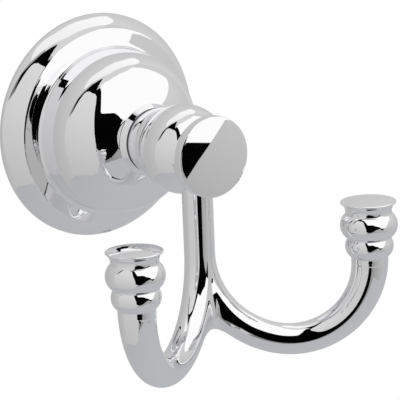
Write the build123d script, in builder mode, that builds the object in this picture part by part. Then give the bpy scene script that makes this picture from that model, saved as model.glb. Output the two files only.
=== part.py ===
"""A double robe hook for a bathroom wall.

A hollow turned rose stands on the wall and hides a small steel bracket. A cast hook with two upswept arms is
drawn against the rose's neck by a screw from behind. Everything is in millimetres. The wall is the plane y = 0,
the hook reaches out along -Y, and +Z is up. The origin is the centre of the rose's back, on the wall.
"""
import os
from math import asin, cos, radians, sin, sqrt

from build123d import *

# Rose, from the wall outwards: rim, sloping flange, step, cove, plinth, dome and short tapered neck
rose_diameter = 60.0
rim_height = 1.0
rim_width = 2.8
flange_width = 3.6
flange_rise = 5.4
flange_crown = 0.3
step_width = 3.4
step_rise = 0.35
cove_width = 1.3
cove_rise = 1.55
plinth_draft = 0.2
plinth_rise = 3.1
neck_radius = 8.5
neck_height = 28.0
neck_foot_radius = 9.45
neck_length = 2.0
neck_edge = 0.4
dome_foot_turn = 93.0
dome_shoulder_turn = 33.0
dome_top_turn = 17.0
rose_wall = 2.0
neck_depth = 8.0

# Hub of the hook: collar, bead, groove and end disc, all turned about the same axis as the rose
collar_length = 6.3
collar_end_radius = 9.2
collar_crown = 0.35
bead_groove_depth = 0.4
bead_groove_width = 0.5
bead_start_radius = 9.3
bead_radius = 11.6
bead_end_radius = 8.2
bead_length = 14.4
bead_peak = 6.6
disc_groove_length = 1.2
disc_radius = 10.5
disc_back_rise = 2.2
disc_edge_length = 2.4
disc_edge_round = 0.4
disc_crown = 0.5

# Stem and arms: a round rod that divides in two
stem_inset = 2.5
stem_length = 26.5
rod_diameter = 8.0
arm_spread = 55.7
first_bend_radius = 24.2
first_bend_turn = 75.0
second_bend_radius = 20.5
rod_swell = 0.25
rod_end_diameter = 9.6

# Web between the arms
web_thickness = 5.0
web_turn = 57.0
web_arch_radius = 5.0
web_arch_rise = 1.5
web_edge_flat = 0.5

# Finials on the arms' ends, heights measured up from the end of the bend
finial_tube = 0.8
ring_radius = 6.25
ring_height = 5.0
ring_neck_radius = 5.6
bead_ball_radius = 7.45
bead_ball_height = 6.4
waist_radius = 6.1
cap_height = 3.3
cap_radius = 7.25
cap_edge = 0.4
cap_hollow = 0.5
cap_crown = 0.8

# Joint between hook and rose: a spigot with two flats, held by a screw and a split washer
spigot_diameter = 10.0
spigot_length = 3.8
spigot_flats = 8.4
fit_gap = 0.1
spigot_end_gap = 0.2
screw_diameter = 5.0
screw_length = 20.0
screw_hole_gap = 0.25
screw_tip = 0.6
thread_gap = 0.05
tapped_run_out = 2.4
screw_head_diameter = 9.5
screw_head_height = 3.2
screw_head_round = 1.2
screw_slot_width = 1.3
screw_slot_depth = 1.4
washer_inner_diameter = 5.3
washer_outer_diameter = 9.2
washer_thickness = 1.2
washer_slit = 1.0

# Wall bracket: a steel strip with both ends bent forward, fixed to the wall by two screws
bracket_thickness = 1.5
bracket_width = 12.0
bracket_half_length = 15.0
tab_reach = 3.4
bend_radius = 0.8
bracket_corner = 1.5
wall_hole_spacing = 19.0
wall_hole_diameter = 4.5

# Lug that hooks over the bracket's upper tab, and boss for the grub screw that bears on the lower one
lug_width = 10.0
lug_gap = 0.12
lug_back_gap = 0.4
boss_width = 9.0
boss_gap = 3.0
grub_diameter = 3.0
grub_length = 8.0
grub_height = 2.2
grub_seat_gap = 0.05
grub_socket = 1.5
grub_socket_depth = 1.8

# Places worked out from the sizes above
rose_radius = rose_diameter / 2
crease_radius = rose_radius - flange_width
crease_height = rim_height + flange_rise
step_radius = crease_radius - step_width
step_height = crease_height + step_rise
plinth_radius = step_radius - cove_width
plinth_height = step_height + cove_rise
dome_start = Vector(plinth_radius - plinth_draft, plinth_height + plinth_rise)
seat_height = neck_height - neck_depth
rod_radius = rod_diameter / 2
lean = radians(arm_spread)

# Profiles turned about the hub are drawn as (radius, distance from the wall)
turning = Plane(origin=(0, 0, 0), x_dir=(1, 0, 0), z_dir=(0, 0, -1))
# Sections through the fixings are drawn as (distance from the wall, height)
side = Plane(origin=(0, 0, 0), x_dir=(0, -1, 0), z_dir=(-1, 0, 0))


def crown_middle(radius, edge_height, crown):
    """Halfway point of a shallow round crown that rises from an edge to the axis."""
    ball = (radius ** 2 + crown ** 2) / (2 * crown)
    half = asin(radius / ball) / 2
    return (ball * sin(half), edge_height + crown - ball * (1 - cos(half)))


def facing_wall(distance):
    """A plane parallel to the wall, looking away from it, with +Z up and its origin on the hub's axis."""
    return Plane(origin=(0, -distance, 0), x_dir=(1, 0, 0), z_dir=(0, -1, 0))


def aside(degrees):
    """Direction that leans from the hub's axis by an angle, as (radius, distance from the wall)."""
    return Vector(sin(radians(degrees)), cos(radians(degrees)))


# Dome of the rose: two arcs that run smoothly into each other, from the top of the plinth to the foot of the neck
cove_middle = (step_radius - cove_width * sqrt(0.5), plinth_height - cove_rise * sqrt(0.5))
neck_foot = Vector(neck_foot_radius, neck_height - neck_length)
lower_step = aside(dome_foot_turn) - aside(dome_shoulder_turn)
upper_step = aside(dome_shoulder_turn) - aside(dome_top_turn)
dome_step = dome_start - neck_foot
dome_radius = dome_step.cross(upper_step).Z / lower_step.cross(upper_step).Z
top_radius = lower_step.cross(dome_step).Z / lower_step.cross(upper_step).Z
dome_centre = dome_start - aside(dome_foot_turn) * dome_radius
dome_shoulder = dome_centre + aside(dome_shoulder_turn) * dome_radius
dome_middle = dome_centre + aside((dome_foot_turn + dome_shoulder_turn) / 2) * dome_radius
top_centre = neck_foot - aside(dome_top_turn) * top_radius
top_middle = top_centre + aside((dome_shoulder_turn + dome_top_turn) / 2) * top_radius

# Rose: outer form, hollow inside, then the lug and boss that the fixings need
under_step = crease_height - rose_wall
flange_inner_radius = crease_radius - rose_wall
plinth_inner_radius = dome_centre.X + dome_radius - rose_wall
seat_angle = asin((seat_height - dome_centre.Y) / (dome_radius - rose_wall))
rim_inner_radius = rose_radius - rim_width
lug_front = under_step + rose_wall / 2
boss_end = bracket_half_length + tab_reach + boss_gap


def inner_dome(angle):
    """A point on the inside of the dome, an angle up from the plane of the dome's centre."""
    reach = dome_radius - rose_wall
    return (dome_centre.X + reach * cos(angle), dome_centre.Y + reach * sin(angle))


def behind_tab(height):
    """Height on the lug's face that lies against the back of the bracket's upper tab."""
    return bracket_half_length + height + lug_gap * sqrt(2)


with BuildPart() as rose:
    with BuildSketch(turning):
        with BuildLine():
            Polyline((0, neck_height), (0, 0), (rose_radius, 0), (rose_radius, rim_height))
            SagittaArc((rose_radius, rim_height), (crease_radius, crease_height), -flange_crown)
            Line((crease_radius, crease_height), (step_radius, step_height))
            ThreePointArc((step_radius, step_height), cove_middle, (plinth_radius, plinth_height))
            Line((plinth_radius, plinth_height), dome_start)
            ThreePointArc(dome_start, dome_middle, dome_shoulder)
            ThreePointArc(dome_shoulder, top_middle, neck_foot)
            Polyline(
                neck_foot,
                (neck_radius, neck_height - neck_edge),
                (neck_radius - neck_edge, neck_height),
                (0, neck_height),
            )
        make_face()
    revolve(axis=Axis.Y)
    with BuildSketch(turning):
        with BuildLine():
            Polyline(
                (0, 0),
                (rim_inner_radius, 0),
                (flange_inner_radius, under_step),
                (plinth_inner_radius, under_step),
                inner_dome(0),
            )
            ThreePointArc(inner_dome(0), inner_dome(seat_angle / 2), inner_dome(seat_angle))
            Polyline(inner_dome(seat_angle), (0, seat_height), (0, 0))
        make_face()
    revolve(axis=Axis.Y, mode=Mode.SUBTRACT)
    with BuildSketch(side):
        with BuildLine():
            Polyline(
                (lug_back_gap, behind_tab(lug_back_gap)),
                (lug_front, behind_tab(lug_front)),
                (lug_front, flange_inner_radius),
                (lug_back_gap, rim_inner_radius),
                close=True,
            )
        make_face()
    extrude(amount=lug_width / 2, both=True)
    with BuildSketch(side):
        with BuildLine():
            Polyline(
                (lug_back_gap, -boss_end),
                (lug_front, -boss_end),
                (lug_front, -flange_inner_radius),
                (lug_back_gap, -rim_inner_radius),
                close=True,
            )
        make_face()
    extrude(amount=boss_width / 2, both=True)
    with BuildSketch(Plane.XY.offset(-boss_end + rose_wall)):
        with Locations((0, -grub_height)):
            Circle(grub_diameter / 2 + thread_gap)
    extrude(amount=-(rose_radius - boss_end + 2 * rose_wall), mode=Mode.SUBTRACT)
    with BuildSketch(facing_wall(seat_height - rose_wall)):
        Circle(screw_diameter / 2 + screw_hole_gap)
    extrude(amount=neck_depth + 2 * rose_wall, mode=Mode.SUBTRACT)
    with BuildSketch(facing_wall(neck_height - spigot_length - spigot_end_gap)):
        Circle(spigot_diameter / 2 + fit_gap)
        Rectangle(spigot_diameter * 2, spigot_flats + 2 * fit_gap, mode=Mode.INTERSECT)
    extrude(amount=spigot_length + spigot_end_gap, mode=Mode.SUBTRACT)
rose.part.label = "rose"

# Hook: hub, stem, arms, web and finials are one casting
collar_end = neck_height + collar_length
bead_start = collar_end + bead_groove_width
bead_end = bead_start + bead_length
disc_start = bead_end + disc_groove_length
disc_edge_start = disc_start + disc_back_rise
disc_face = disc_edge_start + disc_edge_length
head_seat = seat_height - washer_thickness
head_back = head_seat - screw_head_height
screw_end = head_seat + screw_length
stem_offset = bead_end - stem_inset
arm_top = Vector(0, -stem_offset, -stem_length)
arm_outwards = Vector(sin(lean), -cos(lean), 0)
arm_plane = Plane(origin=arm_top, x_dir=arm_outwards, z_dir=arm_outwards.cross(Vector(0, 0, 1)))
first_turn = radians(first_bend_turn)
bend_meeting = Vector(first_bend_radius * (1 - cos(first_turn)), -first_bend_radius * sin(first_turn))
second_centre = bend_meeting + Vector(cos(first_turn), sin(first_turn)) * second_bend_radius
arm_end = arm_plane.from_local_coords(second_centre + Vector(second_bend_radius, 0))

with BuildPart() as arm:
    with BuildLine(arm_plane) as first_bend:
        CenterArc((first_bend_radius, 0), first_bend_radius, 180, first_bend_turn)
    with BuildSketch(Plane(origin=first_bend.line @ 0, z_dir=first_bend.line % 0)):
        Circle(rod_radius)
    sweep(path=first_bend.line)
    with BuildLine(arm_plane) as second_bend:
        CenterArc(tuple(second_centre), second_bend_radius, 180 + first_bend_turn, 180 - first_bend_turn)
    with BuildSketch(Plane(origin=second_bend.line @ 0, z_dir=second_bend.line % 0)):
        Circle(rod_radius)
    with BuildSketch(Plane(origin=second_bend.line @ 0.5, z_dir=second_bend.line % 0.5)):
        Circle(rod_radius + rod_swell)
    with BuildSketch(Plane(origin=second_bend.line @ 1, z_dir=second_bend.line % 1)):
        Circle(rod_end_diameter / 2)
    sweep(path=second_bend.line, multisection=True)
    split(bisect_by=Plane.YZ, keep=Keep.TOP)

ring_start = finial_tube
ring_end = ring_start + ring_height
ball_end = ring_end + bead_ball_height
cap_rim = ball_end + cap_height
finial_plane = Plane(origin=arm_end, x_dir=(1, 0, 0), z_dir=(0, -1, 0))

with BuildPart() as finial:
    with BuildSketch(finial_plane):
        with BuildLine():
            Polyline((0, 0), (rod_end_diameter / 2, 0), (rod_end_diameter / 2, ring_start))
            ThreePointArc(
                (rod_end_diameter / 2, ring_start),
                (ring_radius, (ring_start + ring_end) / 2),
                (ring_neck_radius, ring_end),
            )
            ThreePointArc(
                (ring_neck_radius, ring_end),
                (bead_ball_radius, (ring_end + ball_end) / 2),
                (waist_radius, ball_end),
            )
            SagittaArc((waist_radius, ball_end), (cap_radius, cap_rim - cap_edge), cap_hollow)
            RadiusArc((cap_radius, cap_rim - cap_edge), (cap_radius - cap_edge, cap_rim), -cap_edge)
            ThreePointArc(
                (cap_radius - cap_edge, cap_rim),
                crown_middle(cap_radius - cap_edge, cap_rim, cap_crown),
                (0, cap_rim + cap_crown),
            )
            Line((0, cap_rim + cap_crown), (0, 0))
        make_face()
    revolve(axis=Axis(arm_end, (0, 0, 1)))

web_bottom_turn = radians(web_turn)


def arm_point(angle):
    """Sideways, forward and upward place of the arm's centre line, an angle round the first bend."""
    reach = first_bend_radius * (1 - cos(angle))
    return Vector(reach * sin(lean), stem_offset + reach * cos(lean), -stem_length - first_bend_radius * sin(angle))


web_foot = arm_point(web_bottom_turn)
web_half = arm_point(web_bottom_turn / 2)
web_top = arm_point(0)
arch_top = web_foot.Z + web_arch_rise
arch_side = sqrt(web_arch_radius ** 2 - (web_arch_radius - web_arch_rise) ** 2)
half_web = web_thickness / 2

with BuildPart() as web:
    with BuildSketch(Plane.XZ):
        with BuildLine():
            Polyline(
                (-arch_side, web_foot.Z),
                (-web_foot.X, web_foot.Z),
                (-web_half.X, web_half.Z),
                (0, web_top.Z),
                (web_half.X, web_half.Z),
                (web_foot.X, web_foot.Z),
                (arch_side, web_foot.Z),
            )
            ThreePointArc((arch_side, web_foot.Z), (0, arch_top), (-arch_side, web_foot.Z))
        make_face()
    extrude(amount=2 * web_foot.Y)
    with BuildSketch(side):
        with BuildLine():
            front = [(point.Y + half_web, point.Z) for point in (web_top, web_half, web_foot)]
            back = [(point.Y - half_web, point.Z) for point in (web_top, web_half, web_foot)]
            ThreePointArc(front[0], front[1], front[2])
            Line(front[2], back[2])
            ThreePointArc(back[2], back[1], back[0])
            Line(back[0], front[0])
        make_face()
    extrude(amount=web_foot.X, both=True, mode=Mode.INTERSECT)
    arch = web.faces().filter_by(GeomType.CYLINDER).sort_by(Axis.Z)[0]
    fillet(arch.edges().filter_by(GeomType.LINE, reverse=True), half_web - web_edge_flat)

with BuildPart() as hook:
    with BuildSketch(turning):
        with BuildLine():
            Polyline((0, disc_face + disc_crown), (0, neck_height), (neck_radius - neck_edge, neck_height))
            Line((neck_radius - neck_edge, neck_height), (neck_radius, neck_height + neck_edge))
            SagittaArc((neck_radius, neck_height + neck_edge), (collar_end_radius, collar_end), -collar_crown)
            Polyline(
                (collar_end_radius, collar_end),
                (collar_end_radius - bead_groove_depth, (collar_end + bead_start) / 2),
                (bead_start_radius, bead_start),
            )
            ThreePointArc(
                (bead_start_radius, bead_start),
                (bead_radius, bead_start + bead_peak),
                (bead_end_radius, bead_end),
            )
            Line((bead_end_radius, bead_end), (bead_end_radius, disc_start))
            SagittaArc((bead_end_radius, disc_start), (disc_radius, disc_edge_start), -disc_edge_round)
            Line((disc_radius, disc_edge_start), (disc_radius, disc_face - disc_edge_round))
            RadiusArc(
                (disc_radius, disc_face - disc_edge_round),
                (disc_radius - disc_edge_round, disc_face),
                -disc_edge_round,
            )
            ThreePointArc(
                (disc_radius - disc_edge_round, disc_face),
                crown_middle(disc_radius - disc_edge_round, disc_face, disc_crown),
                (0, disc_face + disc_crown),
            )
        make_face()
    revolve(axis=Axis.Y)
    with BuildSketch(facing_wall(neck_height - spigot_length)):
        Circle(spigot_diameter / 2)
        Rectangle(spigot_diameter * 2, spigot_flats, mode=Mode.INTERSECT)
    extrude(amount=spigot_length)
    with BuildSketch(Plane.XY.offset(-stem_length)):
        with Locations((0, -stem_offset)):
            Circle(rod_radius)
    extrude(amount=stem_length)
    add(arm.part)
    mirror(arm.part, about=Plane.YZ)
    add(web.part)
    add(finial.part)
    mirror(finial.part, about=Plane.YZ)
    with BuildSketch(facing_wall(neck_height - spigot_length)):
        Circle(screw_diameter / 2 + thread_gap)
    extrude(amount=screw_end + tapped_run_out - neck_height + spigot_length, mode=Mode.SUBTRACT)
hook.part.label = "hook"

# Screw from inside the rose: pan head, plain shank at the thread's outer diameter, cross slots
with BuildPart() as hook_screw:
    with BuildSketch(turning):
        with BuildLine():
            Polyline(
                (0, head_back),
                (0, screw_end),
                (screw_diameter / 2 - screw_tip, screw_end),
                (screw_diameter / 2, screw_end - screw_tip),
                (screw_diameter / 2, head_seat),
                (screw_head_diameter / 2, head_seat),
                (screw_head_diameter / 2, head_back + screw_head_round),
            )
            RadiusArc(
                (screw_head_diameter / 2, head_back + screw_head_round),
                (screw_head_diameter / 2 - screw_head_round, head_back),
                screw_head_round,
            )
            Line((screw_head_diameter / 2 - screw_head_round, head_back), (0, head_back))
        make_face()
    revolve(axis=Axis.Y)
    slot_length = screw_head_diameter - 2 * screw_head_round - screw_slot_width
    with BuildSketch(facing_wall(head_back)):
        Rectangle(slot_length, screw_slot_width)
        Rectangle(screw_slot_width, slot_length)
    extrude(amount=screw_slot_depth, mode=Mode.SUBTRACT)
hook_screw.part.label = "hook_screw"

# Split washer between the screw's head and the seat inside the rose
with BuildPart() as lock_washer:
    with BuildSketch(facing_wall(head_seat)):
        Circle(washer_outer_diameter / 2)
        Circle(washer_inner_diameter / 2, mode=Mode.SUBTRACT)
        with Locations((washer_outer_diameter / 2, 0)):
            Rectangle(washer_outer_diameter, washer_slit, mode=Mode.SUBTRACT)
    extrude(amount=washer_thickness)
lock_washer.part.label = "lock_washer"

# Wall bracket: strip with its ends bent forward at 45 degrees, and two screw holes
with BuildPart() as wall_bracket:
    with BuildSketch(side) as strip:
        with BuildLine():
            tip = bracket_half_length + tab_reach
            across = bracket_thickness / sqrt(2)
            inner_bend = bracket_half_length - bracket_thickness * (sqrt(2) - 1)
            Polyline(
                (0, -bracket_half_length),
                (0, bracket_half_length),
                (tab_reach, tip),
                (tab_reach + across, tip - across),
                (bracket_thickness, inner_bend),
                (bracket_thickness, -inner_bend),
                (tab_reach + across, across - tip),
                (tab_reach, -tip),
                close=True,
            )
        make_face()
        fillet(strip.vertices().group_by(Axis.X)[0], bend_radius + bracket_thickness)
        fillet(strip.vertices().filter_by(lambda v: abs(v.X - bracket_thickness) < 1e-6), bend_radius)
    extrude(amount=bracket_width / 2, both=True)
    fillet(wall_bracket.faces().sort_by(Axis.Z)[-1].edges().filter_by(Axis.X, reverse=True), bracket_corner)
    fillet(wall_bracket.faces().sort_by(Axis.Z)[0].edges().filter_by(Axis.X, reverse=True), bracket_corner)
    with Locations(facing_wall(bracket_thickness)):
        with GridLocations(0, wall_hole_spacing, 1, 2):
            Hole(wall_hole_diameter / 2)
wall_bracket.part.label = "wall_bracket"

# Grub screw: cone point against the bracket's lower tab, hexagon socket outside
with BuildPart() as grub_screw:
    cone_top = -bracket_half_length - grub_height - grub_seat_gap * sqrt(2)
    grub_plane = Plane(origin=(0, -grub_height, cone_top), x_dir=(1, 0, 0), z_dir=(0, 1, 0))
    with BuildSketch(grub_plane):
        with BuildLine():
            Polyline(
                (0, 0),
                (grub_diameter / 2, grub_diameter / 2),
                (grub_diameter / 2, grub_length),
                (0, grub_length),
                close=True,
            )
        make_face()
    revolve(axis=Axis((0, -grub_height, 0), (0, 0, 1)))
    with BuildSketch(Plane(origin=(0, -grub_height, cone_top - grub_length), z_dir=(0, 0, 1))):
        RegularPolygon(grub_socket / 2, 6, major_radius=False)
    extrude(amount=grub_socket_depth, mode=Mode.SUBTRACT)
grub_screw.part.label = "grub_screw"

os.makedirs("parts", exist_ok=True)
export_step(rose.part, "parts/rose.step")
export_step(hook.part, "parts/hook.step")
export_step(hook_screw.part, "parts/hook_screw.step")
export_step(lock_washer.part, "parts/lock_washer.step")
export_step(wall_bracket.part, "parts/wall_bracket.step")
export_step(grub_screw.part, "parts/grub_screw.step")
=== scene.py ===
from math import asin, cos, hypot, pi, radians, sin, sqrt

import bmesh
import bpy
import numpy as np
from mathutils import Matrix, Vector


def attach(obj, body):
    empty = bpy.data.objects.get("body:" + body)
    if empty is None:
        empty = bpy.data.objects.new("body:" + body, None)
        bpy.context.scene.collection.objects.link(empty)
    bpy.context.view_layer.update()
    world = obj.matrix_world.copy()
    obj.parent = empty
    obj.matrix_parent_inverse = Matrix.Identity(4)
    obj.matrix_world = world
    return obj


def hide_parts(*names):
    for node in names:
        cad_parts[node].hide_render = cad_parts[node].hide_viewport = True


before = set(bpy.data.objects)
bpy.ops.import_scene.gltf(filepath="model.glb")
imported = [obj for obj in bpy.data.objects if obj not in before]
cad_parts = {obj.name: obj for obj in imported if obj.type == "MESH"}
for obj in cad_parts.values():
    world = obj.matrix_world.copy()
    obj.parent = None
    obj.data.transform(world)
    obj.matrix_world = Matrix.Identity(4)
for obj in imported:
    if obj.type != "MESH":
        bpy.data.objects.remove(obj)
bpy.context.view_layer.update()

# Wall bracket: a short strip of sheet steel with both ends bent forward. It is punched, bent and
# zinc-plated, and two screws hold it to the wall. The rose hooks over its upper tab and is locked
# against the lower one.
ZINC_COLOUR = (0.62, 0.63, 0.64)


class Wire:
    """One socket of a material, which can stand in plain arithmetic."""

    def __init__(self, socket):
        self.socket = socket
        self.tree = socket.id_data

    def node(self, kind, settings=None, inputs=None, output=0):
        """Adds a node of a kind, sets it up, feeds its sockets, and gives one of its outputs."""
        added = self.tree.nodes.new(kind)
        for name, value in (settings or {}).items():
            setattr(added, name, value)
        for name, value in (inputs or {}).items():
            if isinstance(value, Wire):
                self.tree.links.new(value.socket, added.inputs[name])
            else:
                added.inputs[name].default_value = value
        return Wire(added.outputs[output])

    def math(self, operation, first, second):
        """Adds a Math node for one operation."""
        return self.node("ShaderNodeMath", {"operation": operation}, {0: first, 1: second})

    def __add__(self, other):
        return self.math("ADD", self, other)

    __radd__ = __add__

    def __mul__(self, other):
        return self.math("MULTIPLY", self, other)

    __rmul__ = __mul__


def metal(name, colour, roughness):
    """A bare metal finish, and the wire of its object coordinates to build on."""
    finish = bpy.data.materials.new(name)
    finish.use_nodes = True
    shader = finish.node_tree.nodes["Principled BSDF"]
    shader.inputs["Base Color"].default_value = (*colour, 1)
    shader.inputs["Metallic"].default_value = 1
    shader.inputs["Roughness"].default_value = roughness
    place = finish.node_tree.nodes.new("ShaderNodeTexCoord")
    return finish, shader, Wire(place.outputs["Object"])


def feed(shader, name, wire):
    """Links a wire to one of a shader's sockets."""
    wire.tree.links.new(wire.socket, shader.inputs[name])


def grain(shader, place, smoothest, spread, scale, detail):
    """Varies a metal's roughness with a fine noise, from its smoothest upwards."""
    noise = place.node("ShaderNodeTexNoise", None, {"Vector": place, "Scale": scale, "Detail": detail})
    feed(shader, "Roughness", smoothest + spread * noise)


def dress(node, finish):
    """Gives a CAD node's object one finish all over."""
    node.data.materials.clear()
    node.data.materials.append(finish)


zinc, zinc_shader, zinc_place = metal("zinc_plate", ZINC_COLOUR, roughness=0.35)
grain(zinc_shader, zinc_place, smoothest=0.24, spread=0.2, scale=900.0, detail=3.0)
dress(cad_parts["wall_bracket"], zinc)

# Rose: a hollow bell cast in zinc, polished outside and chrome-plated, with a sloping flange, a step,
# a plinth, a dome and a short tapered neck. Inside are a lug that hooks on the bracket and a boss for
# the grub screw. Sizes are in millimetres, and heights are counted out from the wall.
MM = 0.001
CHROME_COLOUR = (0.9, 0.9, 0.91)
CASTING_COLOUR = (0.7, 0.7, 0.71)
# Painted shade: a dark colour laid on the chamfers where rose meets hub and in the groove behind the collar,
# standing in for their shadow.
SEAM_SHADE_COLOUR = (0.1, 0.105, 0.115)
ROSE_RADIUS = 30.0
RIM_HEIGHT = 1.0
RIM_WIDTH = 2.8
FLANGE_BOW = 0.3
CREASE = (26.4, 6.4)
CREASE_ROUND = 0.45
STEP = (23.0, 6.75)
PLINTH = (21.7, 8.3)
DOME_START = (21.5, 11.4)
NECK_RADIUS = 8.5
NECK_HEIGHT = 28.0
NECK_EDGE = 0.4
NECK_FOOT = (9.45, 26.0)
DOME_FOOT_TURN = -radians(3)
SHOULDER_TURN = radians(57)
DOME_TOP_TURN = radians(73)
WALL = 2.0
POCKET_RADIUS = 5.1
POCKET_FLOOR = 24.0
SCREW_HOLE = 2.75
SEAT_HEIGHT = 20.0
LUG_WIDTH = 10.0
LUG_SIDE = [(0.4, 15.57), (5.4, 20.57), (5.4, 24.4), (0.4, 27.2)]
BOSS_WIDTH = 9.0
BOSS_SIDE = [(0.4, -21.4), (5.4, -21.4), (5.4, -24.4), (0.4, -27.2)]
GRUB_HEIGHT = 2.2
GRUB_HOLE = 1.55
GRUB_BORE = (-32.0, -20.0)
CAST_EDGE = 0.16
EDGE_SHARE = 0.3
EDGE_STEPS = 8
HARD_CORNER = radians(35)
ROSE_SEGMENTS = 256
BAR_SEGMENTS = 64


def straight(start, end, count):
    """Points on a straight line between two points."""
    return np.array(start, float) + np.linspace(0, 1, count)[:, None] * np.subtract(end, start)


def bow(start, end, rise, count):
    """Points on a shallow arc between two points, bulging to the right of the way there."""
    start, end = np.array(start, float), np.array(end, float)
    chord = end - start
    length = np.hypot(*chord)
    across = np.array([chord[1], -chord[0]]) / length
    radius = (length ** 2 / 4 + rise ** 2) / (2 * rise)
    half = asin(length / 2 / radius)
    turn = np.linspace(-half, half, count)[:, None]
    middle = (start + end) / 2 + across * (rise - radius)
    return middle + radius * (np.cos(turn) * across + np.sin(turn) * chord / length)


def swing(centre, radius, first, last, count):
    """Points on a circle from one angle to another."""
    turn = np.linspace(first, last, count)
    return np.c_[centre[0] + radius * np.cos(turn), centre[1] + radius * np.sin(turn)]


def through(start, middle, end, count):
    """Points on the circle through three points, from the first to the last."""
    (ax, ay), (bx, by), (cx, cy) = start, middle, end
    scale = 2 * (ax * (by - cy) + bx * (cy - ay) + cx * (ay - by))
    a, b, c = ax * ax + ay * ay, bx * bx + by * by, cx * cx + cy * cy
    centre = ((a * (by - cy) + b * (cy - ay) + c * (ay - by)) / scale,
              (a * (cx - bx) + b * (ax - cx) + c * (bx - ax)) / scale)
    turns = np.unwrap([np.arctan2(y - centre[1], x - centre[0]) for x, y in (start, middle, end)])
    return swing(centre, np.hypot(ax - centre[0], ay - centre[1]), turns[0], turns[2], count)


def crown(radius, height, rise, count):
    """Points on a shallow round crown, from its edge up to the axis."""
    ball = (radius ** 2 + rise ** 2) / (2 * rise)
    turn = np.linspace(asin(radius / ball), 0, count)
    return np.c_[ball * np.sin(turn), height + rise - ball * (1 - np.cos(turn))]


def outline(runs, soften, rounder=None):
    """One line from several runs of points. Each corner is eased by a small round, some by a wider one."""
    points = []
    for place, run in enumerate(runs):
        run = np.array(run, float)
        steps = np.r_[0, np.cumsum(np.hypot(*np.diff(run, axis=0).T))]
        most = steps[-1] * EDGE_SHARE
        before, after = [min((rounder or {}).get(corner, soften), most) for corner in (place, place + 1)]
        low = before if place > 0 else 0
        high = steps[-1] - (after if place < len(runs) - 1 else 0)
        inner = np.r_[low, steps[(steps > low) & (steps < high)], high]
        trimmed = np.c_[np.interp(inner, steps, run[:, 0]), np.interp(inner, steps, run[:, 1])]
        if points:
            last, corner, first = points[-1], run[0], trimmed[0]
            for t in np.linspace(0, 1, EDGE_STEPS + 1)[1:-1]:
                points.append((1 - t) ** 2 * last + 2 * t * (1 - t) * corner + t ** 2 * first)
        points.extend(trimmed)
    return np.array(points)


def turned(sheet, line, segments, place, closed=False):
    """Adds a turned body to a bmesh. Its line is (radius, height), and place puts a point into the scene."""
    rings = []
    for radius, height in line:
        if radius < 1e-6:
            rings.append([sheet.verts.new(place(0.0, 0.0, height))])
            continue
        angles = [2 * pi * k / segments for k in range(segments)]
        rings.append([sheet.verts.new(place(radius * cos(a), radius * sin(a), height)) for a in angles])
    pairs = list(zip(rings, rings[1:])) + ([(rings[-1], rings[0])] if closed else [])
    for lower, upper in pairs:
        for k in range(segments):
            n = (k + 1) % segments
            if len(lower) == 1:
                sheet.faces.new((lower[0], upper[n], upper[k]))
            elif len(upper) == 1:
                sheet.faces.new((lower[k], lower[n], upper[0]))
            else:
                sheet.faces.new((lower[k], lower[n], upper[n], upper[k]))


def along_hub(x, z, height):
    """Puts a ring round the hub's axis, its height counted out from the wall."""
    return Vector((x, -height, z)) * MM


def heading(turn):
    """Direction in a profile, as (radius, distance from the wall), an angle up from straight outwards."""
    return np.array([cos(turn), sin(turn)])


def shown(sheet, name, *finishes):
    """Closes a bmesh into an object with smooth faces."""
    bmesh.ops.recalc_face_normals(sheet, faces=sheet.faces)
    mesh = bpy.data.meshes.new(name)
    sheet.to_mesh(mesh)
    sheet.free()
    mesh.shade_smooth()
    for finish in finishes:
        mesh.materials.append(finish)
    piece = bpy.data.objects.new(name, mesh)
    bpy.context.scene.collection.objects.link(piece)
    return piece


def block(side, width, finish):
    """A straight block from its outline seen from the side, as (height from the wall, z)."""
    sheet = bmesh.new()
    ends = [[sheet.verts.new(Vector((x, -h, z)) * MM) for h, z in side] for x in (-width / 2, width / 2)]
    sheet.faces.new(ends[0])
    sheet.faces.new(ends[1])
    for k in range(len(side)):
        n = (k + 1) % len(side)
        sheet.faces.new((ends[0][k], ends[0][n], ends[1][n], ends[1][k]))
    return shown(sheet, "block", finish)


def bar(radius, start, end, finish):
    """A round bar between two points in millimetres."""
    sheet = bmesh.new()
    along = Vector(end) - Vector(start)
    aimed = along.to_track_quat("Z", "Y").to_matrix().to_4x4()
    middle = Matrix.Translation((Vector(start) + Vector(end)) / 2) @ aimed
    bmesh.ops.create_cone(
        sheet, cap_ends=True, segments=BAR_SEGMENTS, radius1=radius, radius2=radius, depth=along.length,
        matrix=Matrix.Scale(MM, 4) @ middle,
    )
    return shown(sheet, "bar", finish)


def worked(piece, tool, operation):
    """Joins a tool shape to a piece, or cuts it out. The tool is used up, and hard corners stay hard."""
    change = piece.modifiers.new(operation, "BOOLEAN")
    change.operation = operation
    change.object = tool
    change.solver = "EXACT"
    seen = piece.evaluated_get(bpy.context.evaluated_depsgraph_get())
    mesh = bpy.data.meshes.new_from_object(seen)
    piece.modifiers.clear()
    piece.data = mesh
    mesh.shade_smooth()
    mesh.set_sharp_from_angle(angle=HARD_CORNER)
    bpy.data.objects.remove(tool)


lower_step = heading(DOME_FOOT_TURN) - heading(SHOULDER_TURN)
upper_step = heading(SHOULDER_TURN) - heading(DOME_TOP_TURN)
dome_step = np.subtract(DOME_START, NECK_FOOT)
dome_radius, top_radius = np.linalg.solve(np.transpose([lower_step, upper_step]), dome_step)
dome_centre = DOME_START - dome_radius * heading(DOME_FOOT_TURN)
top_centre = NECK_FOOT - top_radius * heading(DOME_TOP_TURN)
inner_radius = dome_radius - WALL
dome_side = dome_centre[0] + inner_radius
seat_turn = asin((SEAT_HEIGHT - dome_centre[1]) / inner_radius)
under_step = CREASE[1] - WALL
cove_middle = (
    STEP[0] - (STEP[0] - PLINTH[0]) * sqrt(0.5),
    PLINTH[1] - (PLINTH[1] - STEP[1]) * sqrt(0.5),
)

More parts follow.
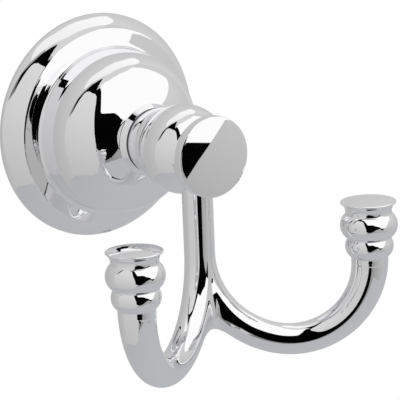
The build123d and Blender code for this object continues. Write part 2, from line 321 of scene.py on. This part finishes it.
rose_front = outline([
    straight((ROSE_RADIUS, 0), (ROSE_RADIUS, RIM_HEIGHT), 4),
    bow((ROSE_RADIUS, RIM_HEIGHT), CREASE, FLANGE_BOW, 24),
    straight(CREASE, STEP, 12),
    through(STEP, cove_middle, PLINTH, 12),
    straight(PLINTH, DOME_START, 10),
    swing(dome_centre, dome_radius, DOME_FOOT_TURN, SHOULDER_TURN, 48),
    swing(top_centre, top_radius, SHOULDER_TURN, DOME_TOP_TURN, 32),
    straight(NECK_FOOT, (NECK_RADIUS, NECK_HEIGHT - NECK_EDGE), 8),
    straight((NECK_RADIUS, NECK_HEIGHT - NECK_EDGE), (NECK_RADIUS - NECK_EDGE, NECK_HEIGHT), 4),
    straight((NECK_RADIUS - NECK_EDGE, NECK_HEIGHT), (POCKET_RADIUS, NECK_HEIGHT), 4),
], CAST_EDGE, {2: CREASE_ROUND})
rose_inside = outline([
    straight((POCKET_RADIUS, NECK_HEIGHT), (POCKET_RADIUS, POCKET_FLOOR), 4),
    straight((POCKET_RADIUS, POCKET_FLOOR), (SCREW_HOLE, POCKET_FLOOR), 4),
    straight((SCREW_HOLE, POCKET_FLOOR), (SCREW_HOLE, SEAT_HEIGHT), 4),
    straight((SCREW_HOLE, SEAT_HEIGHT), (dome_centre[0] + inner_radius * cos(seat_turn), SEAT_HEIGHT), 6),
    swing(dome_centre, inner_radius, seat_turn, 0, 24),
    straight((dome_side, dome_centre[1]), (dome_side, under_step), 6),
    straight((dome_side, under_step), (CREASE[0] - WALL, under_step), 4),
    straight((CREASE[0] - WALL, under_step), (ROSE_RADIUS - RIM_WIDTH, 0), 6),
    straight((ROSE_RADIUS - RIM_WIDTH, 0), (ROSE_RADIUS, 0), 4),
], CAST_EDGE)
chrome = metal("polished_chrome", CHROME_COLOUR, roughness=0.02)[0]
inside, inside_shader, inside_place = metal("plated_casting", CASTING_COLOUR, roughness=0.3)
grain(inside_shader, inside_place, smoothest=0.26, spread=0.18, scale=700.0, detail=4.0)
# Painted seam shade: a dark, dull metal put on the seam chamfers and the groove in place of the shade that
# falls there.
seam_shade = metal("painted_seam_shade", SEAM_SHADE_COLOUR, roughness=0.35)[0]

rose_sheet = bmesh.new()
turned(rose_sheet, np.r_[rose_front, rose_inside[1:-1]], ROSE_SEGMENTS, along_hub, closed=True)
for count, face in enumerate(rose_sheet.faces):
    face.material_index = int(count >= (len(rose_front) - 1) * ROSE_SEGMENTS)
    x, y, z = face.calc_center_median() / MM
    # The neck's outer chamfer takes the painted seam shade.
    if -y > NECK_HEIGHT - NECK_EDGE and hypot(x, z) > NECK_RADIUS - NECK_EDGE:
        face.material_index = 2
rose = shown(rose_sheet, "rose_shell", chrome, inside, seam_shade)
worked(rose, block(LUG_SIDE, LUG_WIDTH, inside), "UNION")
worked(rose, block(BOSS_SIDE, BOSS_WIDTH, inside), "UNION")
grub_line = [(0, -GRUB_HEIGHT, z) for z in GRUB_BORE]
worked(rose, bar(GRUB_HOLE, *grub_line, inside), "DIFFERENCE")
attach(rose, "root")
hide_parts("rose")

# Screws and washer: plain stainless steel, turned and rolled. One screw and its split washer draw the
# hook against the rose from inside, and the grub screw below locks the rose on the bracket.
STEEL_COLOUR = (0.58, 0.57, 0.55)
steel, steel_shader, steel_place = metal("screw_steel", STEEL_COLOUR, roughness=0.3)
grain(steel_shader, steel_place, smoothest=0.22, spread=0.16, scale=1400.0, detail=2.0)
for fastener in ("hook_screw", "lock_washer", "grub_screw"):
    dress(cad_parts[fastener], steel)

# Hook: one casting in zinc, polished and chrome-plated. A turned hub carries a round stem, which divides
# into two arms with a web between them. They sweep out, forward and up to a turned finial each.
SPIGOT_RADIUS = 5.0
SPIGOT_END = 24.2
TAPPED_RADIUS = 2.55
TAPPED_END = 41.2
TAPPED_PAST = 1.0
COLLAR_END = (9.2, 34.3)
COLLAR_BOW = 0.35
GROOVE = (8.8, 34.55)
BEAD_START = (9.3, 34.8)
BEAD_PEAK = (11.6, 41.4)
BEAD_END = (8.2, 49.2)
DISC_RADIUS = 10.5
DISC_BACK = 50.4
DISC_BACK_BOW = 0.4
DISC_EDGE = 52.6
DISC_FACE = 55.0
DISC_ROUND = 0.4
DISC_CROWN = 0.5
SEAM_START = 0.01
STEM_OFFSET = 46.7
STEM_LENGTH = 26.5
ROD_RADIUS = 4.0
ROD_SWELL = (0.2, 0.6)
ARM_LEAN = radians(55.7)
FIRST_BEND = 24.2
FIRST_TURN = radians(75)
SECOND_BEND = 20.5
WEB_START = -28.0
WEB_FOOT = -46.0
WEB_FILLET = 8.9
WEB_LEAST = 0.05
WEB_GROWTH = 2.7
WEB_STOCK = 15.0
FINIAL_SINK = (4.78, -1.0)
FINIAL_FOOT = (4.8, 0.8)
RING_PEAK = (6.25, 3.3)
WAIST = (5.6, 5.8)
BULB_PEAK = (7.45, 9.0)
THROAT = (6.1, 12.2)
FLARE_BOW = -0.5
CAP_RADIUS = 6.85
CAP_RIM = 15.1
CAP_ROUND = 0.4
CAP_CROWN = 0.8
HUB_SEGMENTS = 144
FINIAL_SEGMENTS = 96
ROD_SEGMENTS = 80
STEM_RINGS = 48
BEND_RINGS = 96
PROBE = 0.01
CUT_REACH = 1e-5
RING_WELD = 0.03
MIDDLE_REACH = 1e-4
BEND_MARGIN = 0.001
SETTLE_STEPS = 40
SMOOTH_STEPS = 30
LEAST_SLOPE = 0.2
MIRROR_REACH = 2e-6
MIRROR_WELD = 4e-6

hub_line = outline([
    straight((0, SPIGOT_END), (SPIGOT_RADIUS, SPIGOT_END), 3),
    straight((SPIGOT_RADIUS, SPIGOT_END), (SPIGOT_RADIUS, NECK_HEIGHT), 3),
    straight((SPIGOT_RADIUS, NECK_HEIGHT), (NECK_RADIUS - NECK_EDGE, NECK_HEIGHT), 3),
    straight((NECK_RADIUS - NECK_EDGE, NECK_HEIGHT), (NECK_RADIUS, NECK_HEIGHT + NECK_EDGE), 3),
    bow((NECK_RADIUS, NECK_HEIGHT + NECK_EDGE), COLLAR_END, COLLAR_BOW, 24),
    straight(COLLAR_END, GROOVE, 3),
    straight(GROOVE, BEAD_START, 3),
    through(BEAD_START, BEAD_PEAK, BEAD_END, 56),
    straight(BEAD_END, (BEAD_END[0], DISC_BACK), 4),
    bow((BEAD_END[0], DISC_BACK), (DISC_RADIUS, DISC_EDGE), DISC_BACK_BOW, 14),
    straight((DISC_RADIUS, DISC_EDGE), (DISC_RADIUS, DISC_FACE - DISC_ROUND), 5),
    swing((DISC_RADIUS - DISC_ROUND, DISC_FACE - DISC_ROUND), DISC_ROUND, 0, pi / 2, 8),
    crown(DISC_RADIUS - DISC_ROUND, DISC_FACE, DISC_CROWN, 30),
], CAST_EDGE)

finial_line = outline([
    straight((0, FINIAL_SINK[1]), FINIAL_SINK, 3),
    straight(FINIAL_SINK, FINIAL_FOOT, 4),
    through(FINIAL_FOOT, RING_PEAK, WAIST, 24),
    through(WAIST, BULB_PEAK, THROAT, 36),
    bow(THROAT, (CAP_RADIUS + CAP_ROUND, CAP_RIM), FLARE_BOW, 16),
    swing((CAP_RADIUS, CAP_RIM), CAP_ROUND, 0, pi / 2, 8),
    crown(CAP_RADIUS, CAP_RIM + CAP_ROUND, CAP_CROWN, 24),
], CAST_EDGE)

arm_out = Vector((sin(ARM_LEAN), -cos(ARM_LEAN), 0))
arm_side = arm_out.cross(Vector((0, 0, 1)))
arm_top = Vector((0, -STEM_OFFSET, -STEM_LENGTH))
meeting = Vector((FIRST_BEND * (1 - cos(FIRST_TURN)), -FIRST_BEND * sin(FIRST_TURN)))
second_centre = meeting + Vector((cos(FIRST_TURN), sin(FIRST_TURN))) * SECOND_BEND
arm_end = arm_top + arm_out * (second_centre.x + SECOND_BEND) + Vector((0, 0, second_centre.y))


def arm_stations():
    """Centre, direction and radius of the rod, from inside the hub down the stem and round both bends."""
    for k in range(STEM_RINGS):
        yield arm_top + Vector((0, 0, STEM_LENGTH * (1 - k / STEM_RINGS))), Vector((0, 0, -1)), ROD_RADIUS
    for k in range(BEND_RINGS):
        f = k / BEND_RINGS
        a = FIRST_TURN * f
        along = arm_out * (FIRST_BEND * (1 - cos(a))) + Vector((0, 0, -FIRST_BEND * sin(a)))
        onward = arm_out * sin(a) + Vector((0, 0, -cos(a)))
        yield arm_top + along, onward, ROD_RADIUS + WEB_STOCK * f * f * (1 - f)
    for k in range(BEND_RINGS + 1):
        f = k / BEND_RINGS
        a = FIRST_TURN + (pi - FIRST_TURN) * f
        along = arm_out * (second_centre.x - SECOND_BEND * cos(a))
        along.z = second_centre.y - SECOND_BEND * sin(a)
        onward = arm_out * sin(a) + Vector((0, 0, -cos(a)))
        yield arm_top + along, onward, ROD_RADIUS + ROD_SWELL[0] * f + ROD_SWELL[1] * f * f


def rod_distance(points, hand):
    """Distance of points from the surface of one rod, along the stem and the first bend."""
    x, y, z = hand * points[:, 0], points[:, 1] + STEM_OFFSET, points[:, 2] + STEM_LENGTH
    outwards = x * arm_out.x + y * arm_out.y
    sideways = x * arm_side.x + y * arm_side.y
    round_bend = np.hypot(np.hypot(outwards - FIRST_BEND, z) - FIRST_BEND, sideways)
    return np.where(z > 0, np.hypot(x, y), round_bend) - ROD_RADIUS


def run_together(one, other, fillet):
    """Distance from two shapes run together with a fillet."""
    lap = np.maximum(fillet - np.abs(one - other), 0)
    return np.minimum(one, other) - lap ** 2 / (4 * fillet)


def fork_distance(points):
    """Distance from the two rods as one casting, with a fillet that grows into a web towards the crotch."""
    growth = np.clip((WEB_START - points[:, 2]) / (WEB_START - WEB_FOOT), WEB_LEAST, 1)
    fillet = WEB_FILLET * growth ** WEB_GROWTH
    return run_together(rod_distance(points, 1), rod_distance(points, -1), fillet)


def fork_slope(points):
    """How that distance grows along x, y and z."""
    rises = [fork_distance(points + step) - fork_distance(points - step) for step in np.eye(3) * PROBE]
    return np.stack(rises, 1) / (2 * PROBE)


def everything(sheet):
    """All corners, edges and faces of a bmesh."""
    return sheet.verts[:] + sheet.edges[:] + sheet.faces[:]


# One arm's rings are cut at the middle plane, the crotch is settled on the web's surface, and the half is
# mirrored. Lengths are in millimetres until the settled points are written back.
arm_sheet = bmesh.new()
rings = []
for centre, along, radius in arm_stations():
    inner = arm_side.cross(along)
    angles = [2 * pi * (k + 0.5) / ROD_SEGMENTS for k in range(ROD_SEGMENTS)]
    spokes = [radius * (cos(a) * inner + sin(a) * arm_side) for a in angles]
    rings.append([arm_sheet.verts.new(centre + spoke) for spoke in spokes])
for lower, upper in zip(rings, rings[1:]):
    for k in range(ROD_SEGMENTS):
        n = (k + 1) % ROD_SEGMENTS
        arm_sheet.faces.new((lower[k], lower[n], upper[n], upper[k]))
arm_sheet.faces.new(rings[0])
arm_sheet.faces.new(rings[-1])
bmesh.ops.bisect_plane(
    arm_sheet, geom=everything(arm_sheet),
    plane_co=(0, 0, 0), plane_no=(-1, 0, 0), clear_outer=True, dist=CUT_REACH,
)
bmesh.ops.remove_doubles(arm_sheet, verts=arm_sheet.verts, dist=RING_WELD)
arm_sheet.verts.index_update()
places = np.array([v.co for v in arm_sheet.verts])
ends = np.array([[v.index for v in e.verts] for e in arm_sheet.edges])
ends = np.r_[ends, ends[:, ::-1]]
neighbours = np.bincount(ends[:, 0], minlength=len(places))[:, None]
on_middle = np.abs(places[:, 0]) < MIDDLE_REACH
outwards = places[:, 0] * arm_out.x + (places[:, 1] + STEM_OFFSET) * arm_out.y
bend_angle = np.arctan2(-places[:, 2] - STEM_LENGTH, FIRST_BEND - outwards)
fork = (bend_angle > BEND_MARGIN) & (bend_angle < FIRST_TURN - BEND_MARGIN)
for step in range(SETTLE_STEPS):
    if step < SMOOTH_STEPS:
        sums = np.zeros_like(places)
        np.add.at(sums, ends[:, 0], places[ends[:, 1]])
        places[fork] = (0.5 * places + 0.5 * sums / neighbours)[fork]
        places[on_middle, 0] = 0
    here = places[fork]
    slope = fork_slope(here)
    slope[on_middle[fork], 0] = 0
    steepness = np.maximum((slope ** 2).sum(1), LEAST_SLOPE)[:, None]
    places[fork] = here - fork_distance(here)[:, None] * slope / steepness
for vert, place in zip(arm_sheet.verts, places):
    vert.co = Vector(place) * MM
copied = bmesh.ops.duplicate(arm_sheet, geom=everything(arm_sheet))["geom"]
for part in copied:
    if isinstance(part, bmesh.types.BMVert):
        part.co.x = -part.co.x
bmesh.ops.reverse_faces(arm_sheet, faces=[f for f in copied if isinstance(f, bmesh.types.BMFace)])
joining = [v for v in arm_sheet.verts if abs(v.co.x) < MIRROR_REACH]
bmesh.ops.remove_doubles(arm_sheet, verts=joining, dist=MIRROR_WELD)
hook = shown(arm_sheet, "hook_casting", chrome, seam_shade)

hub_sheet = bmesh.new()
turned(hub_sheet, hub_line, HUB_SEGMENTS, along_hub)
for face in hub_sheet.faces:
    height = -face.calc_center_median().y / MM
    # The hub's chamfer at the neck and the groove behind the collar take the painted seam shade.
    in_seam = NECK_HEIGHT + SEAM_START < height < NECK_HEIGHT + NECK_EDGE
    in_groove = COLLAR_END[1] < height < BEAD_START[1]
    face.material_index = int(in_seam or in_groove)
worked(hook, shown(hub_sheet, "hub", chrome, seam_shade), "UNION")
for hand in (1, -1):
    finial_sheet = bmesh.new()
    foot = Vector((hand * arm_end.x, arm_end.y, arm_end.z))
    turned(finial_sheet, finial_line, FINIAL_SEGMENTS, lambda x, y, z: (foot + Vector((x, y, z))) * MM)
    worked(hook, shown(finial_sheet, "finial", chrome), "UNION")
tapped_line = [(0, TAPPED_PAST - SPIGOT_END, 0), (0, -TAPPED_END, 0)]
worked(hook, bar(TAPPED_RADIUS, *tapped_line, chrome), "DIFFERENCE")
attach(hook, "root")
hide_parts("hook")

# Studio: a white room with a pale floor. Round the hook stands a small round tent, as chrome is lit:
# grey sheets round the sides, below and at the top, white cloths high in front and at the back, and a
# dark gap round the left sheet. The tent shows only where the metal mirrors it.
ROOM_WHITE = 1.0
ROOM_GLOW = 0.7
FLOOR_Z = -100.0
FLOOR_PALE = 0.8
FLOOR_ROUGHNESS = 0.9
FLOOR_REACH = 4000.0
TENT_CENTRE = Vector((0, -35, -10))
TENT_RADIUS = 250.0
TENT_LAYER = 2.0
TENT_STEP = 5


def glowing(name, bright, slope=None, tint=(1, 1, 1)):
    """A sheet's own light, even or with a slope along x, y and z from the tent's centre to its round."""
    finish = bpy.data.materials.new(name)
    finish.use_nodes = True
    nodes = finish.node_tree.nodes
    nodes.clear()
    glow = nodes.new("ShaderNodeEmission")
    glow.inputs["Color"].default_value = (bright, bright, bright, 1)
    finish.node_tree.links.new(glow.outputs[0], nodes.new("ShaderNodeOutputMaterial").inputs["Surface"])
    if slope:
        place = Wire(nodes.new("ShaderNodeTexCoord").outputs["Object"])
        rise = tuple(part / (TENT_RADIUS * MM) for part in slope)
        lift = place.node("ShaderNodeVectorMath", {"operation": "DOT_PRODUCT"}, {0: place, 1: rise}, "Value")
        toned = {0: tint, "Scale": bright + lift}
        feed(glow, "Color", place.node("ShaderNodeVectorMath", {"operation": "SCALE"}, toned))
    return finish


def tent_sheet(name, layer, corners, finish):
    """A sheet bent to the tent's round. Its corners are in degrees: from the front to the right, and up."""
    sheet = bmesh.new()
    sheet.faces.new([sheet.verts.new((a, e, 0)) for a, e in corners])
    bmesh.ops.triangulate(sheet, faces=sheet.faces[:])
    for way in (Vector((1, 0, 0)), Vector((0, 1, 0))):
        for at in range(-180 + TENT_STEP, 180, TENT_STEP):
            bmesh.ops.bisect_plane(sheet, geom=everything(sheet), plane_co=way * at, plane_no=way)
    reach = TENT_RADIUS - TENT_LAYER * layer
    for vert in sheet.verts:
        a, e = radians(vert.co.x), radians(vert.co.y)
        vert.co = Vector((cos(e) * sin(a), -cos(e) * cos(a), sin(e))) * reach * MM
    piece = shown(sheet, name, finish)
    piece.location = TENT_CENTRE * MM
    piece.visible_camera = False
    piece.visible_diffuse = False
    piece.visible_shadow = False


front_grey = glowing("front_sheet", bright=0.34, slope=(0.26, -0.12, 0.22))
tent_sheet("front_sheet", 0, [(-105, -90), (105, -90), (105, 90), (-105, 90)], front_grey)

back_grey = glowing("back_sheet", bright=0.67, slope=(0.05, -0.16, 0.06))
tent_sheet("back_sheet_left", 0, [(-180, -90), (-105, -90), (-105, 90), (-180, 90)], back_grey)
tent_sheet("back_sheet_right", 0, [(105, -90), (180, -90), (180, 90), (105, 90)], back_grey)

table_edge = [(-180, -36), (-150, -42), (-105, -43), (-60, -47), (-45, -41), (-28, -31), (0, -24), (37, -28)]
table_edge += [(65, -16), (90, -18), (120, -22), (145, -35), (180, -36), (180, -90), (-180, -90)]
table_grey = glowing("table_sheet", bright=0.475, slope=(0.03, -0.02, -0.04), tint=(0.976, 1, 1.025))
tent_sheet("table_sheet", 1, table_edge, table_grey)

top_edge = [(-105, 70), (105, 60), (105, 90), (-105, 90)]
tent_sheet("top_sheet", 1, top_edge, glowing("top_sheet", bright=0.72))

cloth_edge = [(-60, 25), (-30, 18), (-5, 8), (12, 0), (20, -8), (30, -5), (37, 7), (45, 9), (51, 16)]
cloth_edge += [(52, 26), (56, 28), (90, 29), (90, 65), (75, 70), (60, 74), (45, 78), (0, 79), (-30, 76)]
cloth_edge += [(-48, 74), (-60, 60)]
tent_sheet("white_cloth", 2, cloth_edge, glowing("white_cloth", bright=1.08))

back_white = glowing("back_cloth", bright=0.97, slope=(0.12, 0.05, 0))
back_right_edge = [(105, 58), (113, 51), (120, 47), (129, 46), (135, 60), (150, 67), (165, 71), (180, 73)]
back_right_edge += [(180, 90), (105, 90)]
tent_sheet("back_cloth_right", 2, back_right_edge, back_white)
back_left_edge = [(-180, 90), (-180, 73), (-165, 73), (-150, 70), (-135, 65), (-120, 60), (-105, 56)]
back_left_edge += [(-105, 90)]
tent_sheet("back_cloth_left", 2, back_left_edge, back_white)

gap_edge = [(-101, 30), (-104, 45), (-99, 60), (-98, 66), (-93, 75), (-86, 80), (-76, 79), (-68, 72)]
gap_edge += [(-63, 63), (-52, 66), (-42, 59), (-37, 50), (-33, 40), (-30, 30), (-28, 27), (-10, 25)]
gap_edge += [(-5, 21), (-2, 17), (4, 12), (13, 6), (17, -3), (30, -5), (25, -10), (21, -15), (12, -4)]
gap_edge += [(0, -8), (-8, -17), (-16, -24), (-24, -27), (-31, -22), (-45, -15), (-50, 30), (-60, 50)]
gap_edge += [(-90, 52), (-98, 40)]
tent_sheet("dark_gap", 3, gap_edge, glowing("dark_gap", bright=0.001))

left_edge = [(-99, 31), (-98, 45), (-97, 54), (-94, 57), (-85, 59), (-72, 58), (-60, 57), (-52, 53)]
left_edge += [(-47, 44), (-44, 30), (-41, 18), (-38, 5), (-36, -8), (-36, -19), (-29, -26), (-40, -42)]
left_edge += [(-60, -47), (-107, -44), (-107, 20)]
left_grey = glowing("left_sheet", bright=0.64, slope=(-0.01, -0.03, 0.13))
tent_sheet("left_sheet", 4, left_edge, left_grey)

floor_pale = bpy.data.materials.new("pale_floor")
floor_pale.use_nodes = True
floor_nodes = floor_pale.node_tree.nodes
floor_shader = floor_nodes["Principled BSDF"]
floor_shader.inputs["Base Color"].default_value = (FLOOR_PALE, FLOOR_PALE, FLOOR_PALE, 1)
floor_shader.inputs["Roughness"].default_value = FLOOR_ROUGHNESS
floor_lit = Wire(floor_shader.outputs[0])
floor_glow = floor_lit.node("ShaderNodeEmission")
floor_rays = floor_nodes.new("ShaderNodeLightPath")
floor_seen = Wire(floor_rays.outputs["Is Camera Ray"]) + Wire(floor_rays.outputs["Is Glossy Ray"])
floor_seen = floor_seen + Wire(floor_rays.outputs["Is Transmission Ray"])
floor_above = floor_lit.node("ShaderNodeMixShader", None, {"Fac": floor_seen, 1: floor_lit, 2: floor_glow})
floor_clear = floor_lit.node("ShaderNodeBsdfTransparent")
floor_under = floor_lit.node("ShaderNodeNewGeometry", output="Backfacing")
one_sided = {"Fac": floor_under, 1: floor_above, 2: floor_clear}
feed(floor_nodes["Material Output"], "Surface", floor_lit.node("ShaderNodeMixShader", None, one_sided))
floor_signs = ((-1, -1), (1, -1), (1, 1), (-1, 1))
floor_corners = [(x * FLOOR_REACH, y * FLOOR_REACH, FLOOR_Z) for x, y in floor_signs]
floor_sheet = bmesh.new()
floor_sheet.faces.new([floor_sheet.verts.new(Vector(c) * MM) for c in floor_corners])
floor = shown(floor_sheet, "floor", floor_pale)
floor.visible_glossy = False

world = bpy.data.worlds.new("white_room")
bpy.context.scene.world = world
world.use_nodes = True
room = world.node_tree.nodes["Background"]
room_rays = world.node_tree.nodes.new("ShaderNodeLightPath")
room_seen = Wire(room_rays.outputs["Is Camera Ray"]) + Wire(room_rays.outputs["Is Transmission Ray"])
feed(room, "Strength", ROOM_GLOW + (ROOM_WHITE - ROOM_GLOW) * room_seen)
room.inputs["Color"].default_value = (1, 1, 1, 1)

# Camera: the photograph's angle, a long lens a little above the hook and to its left. It is aimed near
# the hub, moved a little across the picture, and tipped by a small roll.
CAMERA_AZIMUTH = radians(-34.434)
CAMERA_ELEVATION = radians(13.778)
CAMERA_ROLL = radians(2.315)
CAMERA_DISTANCE = 787.286
CAMERA_TARGET = Vector((0, -25, -20))
TARGET_RIGHT = 12.918
TARGET_UP = 2.921
FOCAL_PIXELS = 2998.098
PHOTO_WIDTH = 400
SENSOR_WIDTH = 36
back = Vector((
    sin(CAMERA_AZIMUTH) * cos(CAMERA_ELEVATION),
    -cos(CAMERA_AZIMUTH) * cos(CAMERA_ELEVATION),
    sin(CAMERA_ELEVATION),
))
level = Vector((0, 0, 1)).cross(back).normalized()
upright = back.cross(level)
target = CAMERA_TARGET + TARGET_RIGHT * level + TARGET_UP * upright
right = cos(CAMERA_ROLL) * level - sin(CAMERA_ROLL) * upright
up = sin(CAMERA_ROLL) * level + cos(CAMERA_ROLL) * upright
camera = bpy.data.objects.new("camera", bpy.data.cameras.new("camera"))
bpy.context.scene.collection.objects.link(camera)
camera.data.sensor_width = SENSOR_WIDTH
camera.data.lens = SENSOR_WIDTH * FOCAL_PIXELS / PHOTO_WIDTH
camera_turn = Matrix((right, up, back)).transposed().to_4x4()
camera.matrix_world = Matrix.Translation((target + CAMERA_DISTANCE * back) * MM) @ camera_turn
bpy.context.scene.camera = camera

bpy.context.scene.view_settings.view_transform = "Standard"
